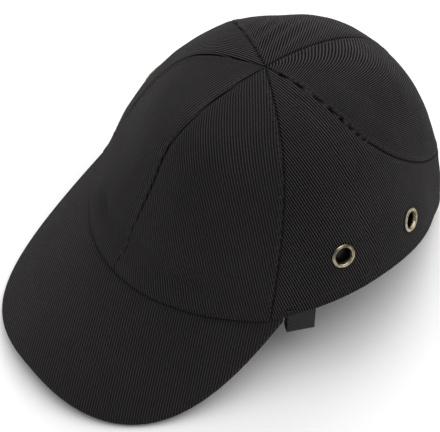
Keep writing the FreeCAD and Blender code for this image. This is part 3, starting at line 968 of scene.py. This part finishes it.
def folded_section(gap, leg, count=9):
    """Line of a tape folded over an edge, from one leg's end round to the other's: offsets out and away."""
    radius = gap / 2
    legs = steps(leg, 0.0, 7)
    turn = [(radius * math.cos(t), -radius * math.sin(t)) for t in steps(0, math.pi, count)]
    return [(radius, away) for away in legs[:-1]] + turn + [(-radius, away) for away in reversed(legs[:-1])]


class CAP_OT_binding(bpy.types.Operator):
    """Add the folded binding round the rear arch"""
    bl_idname = "cap.add_binding"
    bl_label = "Arch binding"

    def execute(self, context):
        crown = Crown()
        half = [crown.find(x, z) for x, z in arch_outline(ARCH_MARGIN, 48)]
        half[-1] = (math.pi, half[-1][1])
        places = half + [(2 * math.pi - angle, s) for angle, s in reversed(half[:-1])]
        points = [crown.point(*place) for place in places]
        path, run = [], running(points)
        for i, (angle, s) in enumerate(places):
            before, after = points[max(i - 1, 0)], points[min(i + 1, len(points) - 1)]
            out = crown.normal(angle, s)
            away = out.cross((after - before).normalized())
            path.append((points[i] - out * 0.55, out, away))
        section = folded_section(1.75, 2.1)
        width = sum(math.dist(a, b) for a, b in zip(section, section[1:]))

        def placed(i, j):
            point, out, away = path[i]
            up, over = section[j]
            return point + out * up + away * over, (run[i] * MM, j / (len(section) - 1) * width * MM)
        bm = grid(list(range(len(path))), list(range(len(section))), placed)
        piece = finish_piece("arch_binding_tape", bm, material_named("Cotton tape, woven"), "cover",
                             "arch_binding", 0.4)
        return {"FINISHED"}


# ---------------------------------------------------------------- peak

class CAP_OT_peak(bpy.types.Operator):
    """Add the upper and lower cloth of the peak, joined by a rounded edge"""
    bl_idname = "cap.add_peak"
    bl_label = "Peak covers"

    def execute(self, context):
        crown = Crown()
        material = material_named("Cotton twill, woven, on the peak")
        for name, top in (("peak_cover_top", True), ("peak_cover_bottom", False)):
            bm = self.cover(crown, top)
            cut, area = cut_size(bm)
            piece = finish_piece("twill_" + name, bm, material, "cover", name,
                                 0.9, close=0.005)
        return {"FINISHED"}

    def cover(self, crown, top):
        half_thickness = (PEAK_UNDERSIDE - PEAK_TOP) / 2
        end = math.radians(PEAK_ANGLE)
        end_x, end_y = crown.outline(end)
        full = crown.half_length + crown.reach + end_y

        def lines(u):
            root = Vector(crown.outline(u * end, 0.9))
            turn = u * math.pi / 2
            edge_x = signed_power(math.sin(turn), 2 / PEAK_SQUARENESS) * end_x
            edge_x += PEAK_CORNER * math.sin(2 * turn)
            edge_y = end_y - full * max(math.cos(turn), 0.0) ** (2 / PEAK_SQUARENESS)
            return root, Vector((edge_x, edge_y))

        def surface(x, y, drop):
            return Vector((x, y, crown.peak_height(x, y) - drop))

        def placed(u, v):
            root, edge = lines(u)
            run = edge - root
            reach = max(run.length, 0.01)
            radius = min(half_thickness, reach * 0.45)
            flat_share = 1 - radius / reach
            if v <= 1:
                plane = root + run * (v * flat_share)
                drop = 0.0
                laid = plane
            else:
                turn = (v - 1) * math.pi / 2
                plane = root + run * (flat_share + (1 - flat_share) * math.sin(turn))
                drop = half_thickness * (1 - math.cos(turn))
                laid = root + run * (flat_share + (1 - flat_share) * turn)
            from_edge = (edge - plane).length
            wave_ = 0.35 * noise.noise(Vector((plane.x / 30, plane.y / 30, 4.0)))
            wave_ *= smooth(from_edge / 15) * smooth((plane - root).length / 10)
            pucker = 0.10 * math.sin(plane.x / 1.3) * bell(from_edge - 3.0, 1.6)
            root_dip = 0.5 * max(1 - v / 0.06, 0.0)
            if top:
                point = surface(plane.x, plane.y, PEAK_TOP + drop + root_dip - wave_ - pucker)
            else:
                point = surface(plane.x, plane.y, PEAK_UNDERSIDE - drop - root_dip + wave_ + pucker)
            slope = math.hypot(1, PEAK_SLOPE)
            return point, turned(laid.x, laid.y * slope, 120 if top else 60)

        shares = steps(-0.997, 0.997, 131)
        rows = spaced(60, 0.5, 1.6, start_fine=False) + [1 + k / 6 for k in range(1, 7)]
        if not top:
            shares = list(reversed(shares))
        bm = grid(shares, rows, placed)
        bmesh.ops.reverse_faces(bm, faces=bm.faces)
        return bm


# ---------------------------------------------------------------- eyelets

class CAP_OT_eyelets(bpy.types.Operator):
    """Add the four rolled brass vent eyelets"""
    bl_idname = "cap.add_eyelets"
    bl_label = "Vent eyelets"

    def execute(self, context):
        crown = Crown()
        size = sizes()
        bore, rim = size["eyelet_bore"] / 2, size["eyelet_width"] / 2
        lip = 0.35
        crest, half = (bore + lip + rim) / 2, (rim - bore - lip) / 2
        profile = [(bore, -BARREL_DEPTH), (bore, -0.9), (bore + lip * 0.4, -0.45)]
        for turn in steps(180, 10, 15):
            t = math.radians(turn)
            profile.append((crest + half * math.cos(t), -0.1 + 0.75 * math.sin(t)))
        profile += [(rim, -0.2), (rim - 0.4, -0.45), (bore + 0.5, -0.5), (bore + 0.45, -BARREL_DEPTH)]
        bm = bmesh.new()
        for degrees, s in EYELETS:
            for side in (1, -1):
                angle = side * math.radians(degrees)
                self.ring(bm, profile, crown.point(angle, s), crown.normal(angle, s))
        bmesh.ops.recalc_face_normals(bm, faces=bm.faces)
        finish_piece("brass_eyelets", bm, material_named("Brass, stamped and aged"), "cover",
                     "vent_eyelets")
        return {"FINISHED"}

    def ring(self, bm, profile, base, out):
        made = [bm.verts.new((radius * MM, 0, height * MM)) for radius, height in profile]
        edges = [bm.edges.new((a, b)) for a, b in zip(made, made[1:] + made[:1])]
        bmesh.ops.spin(bm, geom=made + edges, cent=(0, 0, 0), axis=(0, 0, 1), angle=2 * math.pi,
                       steps=72, use_merge=True, use_duplicate=False)
        whole = set(made)
        frontier = list(made)
        while frontier:
            vertex = frontier.pop()
            for edge in vertex.link_edges:
                other = edge.other_vert(vertex)
                if other not in whole:
                    whole.add(other)
                    frontier.append(other)
        turn = out.to_track_quat("Z", "Y").to_matrix().to_4x4()
        bmesh.ops.transform(bm, matrix=Matrix.Translation(base * MM) @ turn, verts=list(whole))


# ---------------------------------------------------------------- straps and ribbons

def back_angle(crown, x):
    low, high = math.radians(120), math.radians(180)
    for _ in range(40):
        middle = (low + high) / 2
        if crown.outline(middle)[0] > abs(x):
            low = middle
        else:
            high = middle
    return (low + high) / 2


class CAP_OT_straps(bpy.types.Operator):
    """Add the loop strap and the hook strap across the rear arch"""
    bl_idname = "cap.add_straps"
    bl_label = "Closure straps"

    def execute(self, context):
        crown = Crown()
        size = sizes()
        height = size["strap"]
        loop = self.strap(crown, 40.0, -25.8, 2.0, height)
        piece = finish_piece("loop_strap_band", loop, material_named("Nylon loop pile, knitted"), "cover",
                             "loop_strap")
        hook = self.strap(crown, -27.6, 16.0, 0.4, height)
        piece = finish_piece("hook_strap_band", hook, material_named("Cotton tape, woven"), None,
                             "hook_strap")
        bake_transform(piece)
        return {"FINISHED"}

    def strap(self, crown, start, end, inset, height):
        """Flat strap with a rounded free end, following the back of the crown."""
        thickness = 1.15
        lift = 0.3
        xs = steps(start, end, 60)
        path = []
        for x in xs:
            angle = back_angle(crown, x)
            y = crown.outline(angle)[1] - inset - thickness / 2
            low, up = crown.point(angle, 0.0), crown.point(angle, 0.08)
            lean = (low.y - up.y) / (up.z - low.z)
            rise = Vector((0, -lean, 1)).normalized()
            path.append((Vector((x, y, lift)) + rise * height / 2, rise))
        result = []
        for i, (point, rise) in enumerate(path):
            before, after = path[max(i - 1, 0)][0], path[min(i + 1, len(path) - 1)][0]
            run = (after - before).normalized()
            out = run.cross(rise).normalized()
            if out.y < 0:
                out = -out
            share = i / (len(path) - 1)
            from_end = (1 - share) * abs(end - start)
            narrow = math.sqrt(max(1 - max(1 - from_end / 6.0, 0.0) ** 2, 0.0)) * 0.35 + 0.65
            result.append((point, out, rise * narrow))
        section = flat_section(thickness, height - 0.4)
        bm, _ = sweep_band(result, section)
        return bm


def flat_section(thickness, width, count=5, across=14):
    """Offsets round a wide flat band with half-round edges and stitched-down margins."""
    radius = thickness / 2
    flat = width / 2 - radius
    front = [(radius - 0.14 * bell(abs(y) - flat + 1.2, 0.5), y) for y in steps(-flat, flat, across)]
    back = [(-radius, y) for y in steps(flat, -flat, across)]
    top = [(radius * math.cos(t), flat + radius * math.sin(t)) for t in steps(0, math.pi, count)[1:-1]]
    bottom = [(-radius * math.cos(t), -flat - radius * math.sin(t)) for t in steps(0, math.pi, count)[1:-1]]
    return front + top + back + bottom


class CAP_OT_ribbons(bpy.types.Operator):
    """Add the folded ribbon loops behind the ends of the peak"""
    bl_idname = "cap.add_ribbons"
    bl_label = "Ribbon loops"

    def execute(self, context):
        crown = Crown()
        size = sizes()
        angle = math.radians(RIBBON_ANGLE)
        base = crown.point(angle, 0.0, 0.3)
        along = crown.point(angle + 0.05, 0.0) - crown.point(angle - 0.05, 0.0)
        along = Vector((along.x, along.y, 0)).normalized()
        inward = along.cross(Vector((0, 0, 1))).normalized()
        if inward.x > 0:
            inward = -inward
        down = Vector((0, 0, -1))
        for side, sign in (("left", 1), ("right", -1)):
            flip = Vector((sign, 1, 1))
            bm, run = self.loop(base * flip, along * flip, inward * flip, down * flip, size["ribbon"])
            piece = finish_piece("ribbon_band_" + side, bm, material_named("Grosgrain ribbon, woven"), None,
                                 "ribbon_loop_" + side)
            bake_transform(piece)
        return {"FINISHED"}

    def loop(self, base, along, inward, down, width):
        thickness, tuck, drop, opening = 0.9, 2.6, 18.5, 5.5
        line = [(0.8, depth) for depth in steps(-tuck, drop - 2.5, 16)]
        line += [(0.8 + opening / 2 * (1 - math.cos(t)),
                  drop - 2.5 + (2.5 - 0.9 * t / math.pi) * math.sin(t) ** 0.8)
                 for t in steps(0, math.pi, 13)[1:-1]]
        line += [(0.8 + 1.6 + (opening - 1.6) * smooth((depth + 1) / (drop - 1)), depth)
                 for depth in steps(drop - 2.5, -tuck + 1.2, 16)]
        points = [base + inward * over + down * depth for over, depth in line]
        path = []
        for i, point in enumerate(points):
            before, after = points[max(i - 1, 0)], points[min(i + 1, len(points) - 1)]
            run = (after - before).normalized()
            out = along.cross(run).normalized()
            path.append((point, out, along))
        bm, run = sweep_band(path, flat_section(thickness, width, across=20))
        layer = bm.loops.layers.uv.active
        for face in bm.faces:
            for loop in face.loops:
                u, v = loop[layer].uv
                loop[layer].uv = (v, u)
        return bm, run


# ---------------------------------------------------------------- padding

class CAP_OT_padding(bpy.types.Operator):
    """Add the foam pads inside the shell and the padded brow band"""
    bl_idname = "cap.add_padding"
    bl_label = "Padding"

    def execute(self, context):
        crown = Crown()
        size = sizes()
        foam = material_named("EVA foam, die-cut")
        pads = {"side_pad_left": (58, 100, 0.16, 0.46), "side_pad_right": (-100, -58, 0.16, 0.46),
                "front_pad": (-40, 40, 0.17, 0.52), "rear_pad": (150, 210, 0.32, 0.60)}
        for name, reach in pads.items():
            piece = finish_piece("foam_" + name, self.pad(crown, reach, size["pad"], 3), foam,
                                 "bump_insert", name)
        piece = finish_piece("foam_crown_pad", self.cap_pad(crown, size["pad"]), foam,
                             "bump_insert", "crown_pad")
        piece = finish_piece("brow_band", self.pad(crown, (-62, 62, 0.03, 0.14), size["brow_pad"], 13),
                             material_named("Cotton terry, knitted"), "bump_insert", "brow_pad")
        return {"FINISHED"}

    def pad(self, crown, reach, thickness, channels):
        """Closed pad with a flat side on the shell and a crowned side with pressed channels."""
        first, last, low, high = reach

        def corner(p, q):
            """Pulls the corners of the pad round."""
            x, y = 2 * p - 1, 2 * q - 1
            return (x * math.sqrt(1 - 0.16 * y * y) + 1) / 2, (y * math.sqrt(1 - 0.16 * x * x) + 1) / 2

        def layer(inner):
            def placed(p, q):
                p2, q2 = corner(p, q)
                angle, s = math.radians(first + (last - first) * p2), low + (high - low) * q2
                edge = min(p, 1 - p) * channels * 2.4, min(q, 1 - q) * 5
                crowned = math.sqrt(max(1 - (1 - min(edge[0], 1)) ** 2, 0)) \
                    * math.sqrt(max(1 - (1 - min(edge[1], 1)) ** 2, 0))
                sewn = 1.0
                for k in range(1, channels):
                    sewn -= 0.42 * bell((p - k / channels) * channels, 0.09) * smooth(min(q, 1 - q) * 8)
                depth = PAD_SEAT + (thickness * crowned * sewn if inner else 0.0)
                point = crown.point(angle, s, depth)
                return point, (p * 0.1, q * 0.03)
            return placed
        count = 20 * channels + 1 if channels > 4 else 61
        bm = grid(steps(0, 1, count), steps(0, 1, 37), layer(False))
        second = grid(steps(0, 1, count), steps(0, 1, 37), layer(True))
        scratch = bpy.data.meshes.new("scratch")
        second.to_mesh(scratch)
        second.free()
        bm.from_mesh(scratch)
        bpy.data.meshes.remove(scratch)
        bmesh.ops.remove_doubles(bm, verts=bm.verts, dist=0.005 * MM)
        bmesh.ops.recalc_face_normals(bm, faces=bm.faces)
        return bm

    def cap_pad(self, crown, thickness):
        """Round pad under the pole: a disc with a crowned edge."""
        low = 0.76
        segments = 72
        section = [(s, 0.0) for s in steps(0.985, low, 10)]
        section += [(low + (0.985 - low) * 0.5 * (1 - math.cos(t)) * 0.25, math.sin(t / 2) ** 0.6)
                    for t in steps(0, math.pi, 9)[1:]]
        section += [(s, 1.0) for s in steps(section[-1][0], 0.985, 9)[1:]]
        profile = [(s, PAD_SEAT + thickness * share) for s, share in section]

        def placed(turn, j):
            s, depth = profile[j]
            point = crown.point(turn, s, depth)
            return point, (turn * 0.02, j * 0.002)
        made = grid(steps(0, 2 * math.pi, segments + 1), list(range(len(profile))), placed)
        bmesh.ops.remove_doubles(made, verts=made.verts, dist=0.005 * MM)
        bmesh.ops.holes_fill(made, edges=[edge for edge in made.edges if edge.is_boundary], sides=0)
        bmesh.ops.recalc_face_normals(made, faces=made.faces)
        return made


# ---------------------------------------------------------------- stitches

class CAP_OT_stitches(bpy.types.Operator):
    """Add the rows of topstitching along the seams and the rim"""
    bl_idname = "cap.add_stitches"
    bl_label = "Topstitching"

    def execute(self, context):
        crown = Crown()
        relief = Relief(crown)
        size = sizes()
        rows = []
        seams = {"stitches_front": (lambda w: (0.0, w), -1, (("front", True),), (0.04, 0.97)),
                 "stitches_side_left": (front_side_seam, -1, (("side_left", True),), (0.03, 0.96)),
                 "stitches_side_right": (mirrored(front_side_seam), 1, (("side_right", True),), (0.03, 0.96)),
                 "stitches_rear_left": (rear_side_seam_up, 1, (("rear_left", True),), (0.02, 0.96)),
                 "stitches_rear_right": (mirrored(rear_side_seam_up), -1, (("rear_right", True),),
                                         (0.02, 0.96)),
                 "stitches_back": (lambda w: (math.pi, w), -1, (("back", True),), (0.2, 0.96))}
        for name, (line, side, marks, span) in seams.items():
            bm = bmesh.new()
            for offset in STITCH_ROWS:
                self.row(bm, crown, relief, line, side * offset, marks, span, size)
            rows.append((name, bm))
        bm = bmesh.new()
        for rim in (lambda w: (math.radians(62 + 96 * w), 0.0), lambda w: (-math.radians(62 + 96 * w), 0.0)):
            self.row(bm, crown, relief, rim, 0.0, (), (0, 1), size, lift=6.0)
        rows.append(("stitches_rim", bm))
        material = material_named("Polyester thread, spun")
        for name, bm in rows:
            finish_piece(name, bm, material, "cover", None)
        return {"FINISHED"}

    def row(self, bm, crown, relief, line, offset, marks, span, size, lift=0.0):
        """One row of stitches beside a line: each is a short bent thread."""
        places = []
        for w in steps(span[0], span[1], 240):
            angle, s = line(w)
            here, ahead = crown.point(angle, s), crown.point(*line(w + 0.004))
            run = (ahead - here).normalized()
            normal = crown.normal(angle, s)
            level = (crown.point(angle + 0.001, s) - crown.point(angle - 0.001, s)).normalized()
            aside = run.cross(normal) * offset + normal.cross(level) * lift
            angle, s = crown.moved(angle, max(s, 0.002), aside)
            places.append(((angle, s), crown.point(angle, s)))
        at = even_line(places)
        count = int(running([point for _, point in places])[-1] / size["stitch"])
        half = 0.41 / count
        for i in range(count):
            middle = (i + 0.5) / count
            points = []
            for share, up in ((-1.0, -0.2), (-0.6, 0.03), (0.0, 0.09), (0.6, 0.03), (1.0, -0.2)):
                angle, s = at(min(max(middle + half * share, 0.0), 1.0))
                point = crown.point(angle, s)
                rise = relief.at(angle, s, point, marks) + up
                points.append((point + crown.normal(angle, s) * rise, crown.normal(angle, s)))
            self.stitch(bm, points, size["thread"] / 2)

    def stitch(self, bm, points, radius):
        rings = []
        for i, (point, normal) in enumerate(points):
            before, after = points[max(i - 1, 0)][0], points[min(i + 1, len(points) - 1)][0]
            side = (after - before).normalized().cross(normal).normalized()
            ring = bmesh.ops.create_circle(bm, cap_ends=False, segments=6, radius=1.0)["verts"]
            for vertex in ring:
                x, y = vertex.co.x, vertex.co.y
                vertex.co = (point + (side * x + normal * y) * radius) * MM
            rings.append(ring)
        for first, second in zip(rings, rings[1:]):
            edges = list({edge for vertex in first + second for edge in vertex.link_edges
                          if edge.is_boundary or not edge.link_faces})
            edges = [edge for edge in edges
                     if any(all(v in ring for v in edge.verts) for ring in (first, second))]
            bmesh.ops.bridge_loops(bm, edges=edges)
        for ring in (rings[0], rings[-1]):
            bmesh.ops.contextual_create(bm, geom=ring)


# ---------------------------------------------------------------- carried-over parts

class CAP_OT_shell(bpy.types.Operator):
    """Give the moulded shell, the peak board and the eyelet washers their finishes"""
    bl_idname = "cap.finish_shell"
    bl_label = "Shell, board and washers"

    def execute(self, context):
        finishes = {"abs_shell": "ABS, injection moulded", "peak_board": "HDPE sheet, die-cut",
                    "eyelet_washers": "Brass, stamped and aged"}
        for node, finish in finishes.items():
            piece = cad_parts[node]
            material = material_named(finish)
            if not piece.material_slots:
                piece.data.materials.append(material)
            for slot in piece.material_slots:
                slot.material = material
        return {"FINISHED"}


# ---------------------------------------------------------------- stage

class CAP_OT_stage(bpy.types.Operator):
    """Add the pale floor, the soft lights and the camera"""
    bl_idname = "cap.add_stage"
    bl_label = "Stage"

    def execute(self, context):
        scene = context.scene
        colours = scene.cap_colours
        material, _, _ = start_material("Paper backdrop, matt", Roughness=0.95, Specular_IOR_Level=0.1,
                                        Base_Color=linear(colours.floor))
        bm = bmesh.new()
        bmesh.ops.create_grid(bm, x_segments=8, y_segments=8, size=6.0)
        bmesh.ops.translate(bm, verts=bm.verts, vec=(0, 0, CAD_BOUNDS[0][2] - 0.0004))
        mesh = bpy.data.meshes.new("floor")
        bm.to_mesh(mesh)
        bm.free()
        mesh.materials.append(material)
        floor = bpy.data.objects.new("floor", mesh)
        scene.collection.objects.link(floor)

        world = bpy.data.worlds.new("Soft white room")
        world.use_nodes = True
        background = world.node_tree.nodes["Background"]
        background.inputs["Color"].default_value = (1.0, 1.0, 1.0, 1.0)
        background.inputs["Strength"].default_value = ROOM_LIGHT
        scene.world = world
        scene.view_settings.view_transform = "Standard"

        target = Vector(TARGET)
        for name, azimuth, elevation, distance, power, width in LIGHTS:
            light = bpy.data.lights.new(name, "AREA")
            light.energy = power
            light.size = width
            lamp = bpy.data.objects.new(name, light)
            scene.collection.objects.link(lamp)
            self.aim(lamp, target, azimuth, elevation, distance)

        lens = bpy.data.cameras.new("Camera")
        lens.sensor_fit = "HORIZONTAL"
        lens.sensor_width = 36.0
        lens.lens = CAMERA_LENS
        lens.clip_start = 0.05
        camera = bpy.data.objects.new("Camera", lens)
        scene.collection.objects.link(camera)
        self.aim(camera, target, *CAMERA_PLACE)
        scene.camera = camera
        return {"FINISHED"}

    def aim(self, thing, target, azimuth, elevation, distance):
        """Puts a light or camera at that angle and distance from the target, looking at it."""
        azimuth, elevation = math.radians(azimuth), math.radians(elevation)
        back = Vector((math.sin(azimuth) * math.cos(elevation), -math.cos(azimuth) * math.cos(elevation),
                       math.sin(elevation)))
        thing.location = target + back * distance
        thing.rotation_euler = back.to_track_quat("Z", "Y").to_euler()


class CAP_PT_panel(bpy.types.Panel):
    """Lists the cap's pieces and their sizes"""
    bl_idname = "CAP_PT_panel"
    bl_label = "Bump cap"
    bl_space_type = "VIEW_3D"
    bl_region_type = "UI"
    bl_category = "Bump cap"

    def draw(self, context):
        layout = self.layout
        for group, owner in ((context.scene.cap_sizes, CapSizes), (context.scene.cap_colours, CapColours)):
            box = layout.box()
            for name in owner.__annotations__:
                box.prop(group, name)
        for operator in OPERATORS:
            layout.operator(operator.bl_idname)


OPERATORS = (CAP_OT_stage, CAP_OT_crown, CAP_OT_tapes, CAP_OT_binding, CAP_OT_peak, CAP_OT_eyelets,
             CAP_OT_straps, CAP_OT_ribbons, CAP_OT_padding, CAP_OT_stitches, CAP_OT_shell)
CLASSES = (CapSizes, CapColours) + OPERATORS + (CAP_PT_panel,)


def register():
    for item in CLASSES:
        bpy.utils.register_class(item)
    bpy.types.Scene.cap_sizes = bpy.props.PointerProperty(type=CapSizes)
    bpy.types.Scene.cap_colours = bpy.props.PointerProperty(type=CapColours)


def unregister():
    del bpy.types.Scene.cap_colours
    del bpy.types.Scene.cap_sizes
    for item in reversed(CLASSES):
        bpy.utils.unregister_class(item)


def main():
    register()
    for operator in OPERATORS:
        group, name = operator.bl_idname.split(".")
        getattr(getattr(bpy.ops, group), name)()
    bpy.context.view_layer.update()


if __name__ == "__main__":
    main()
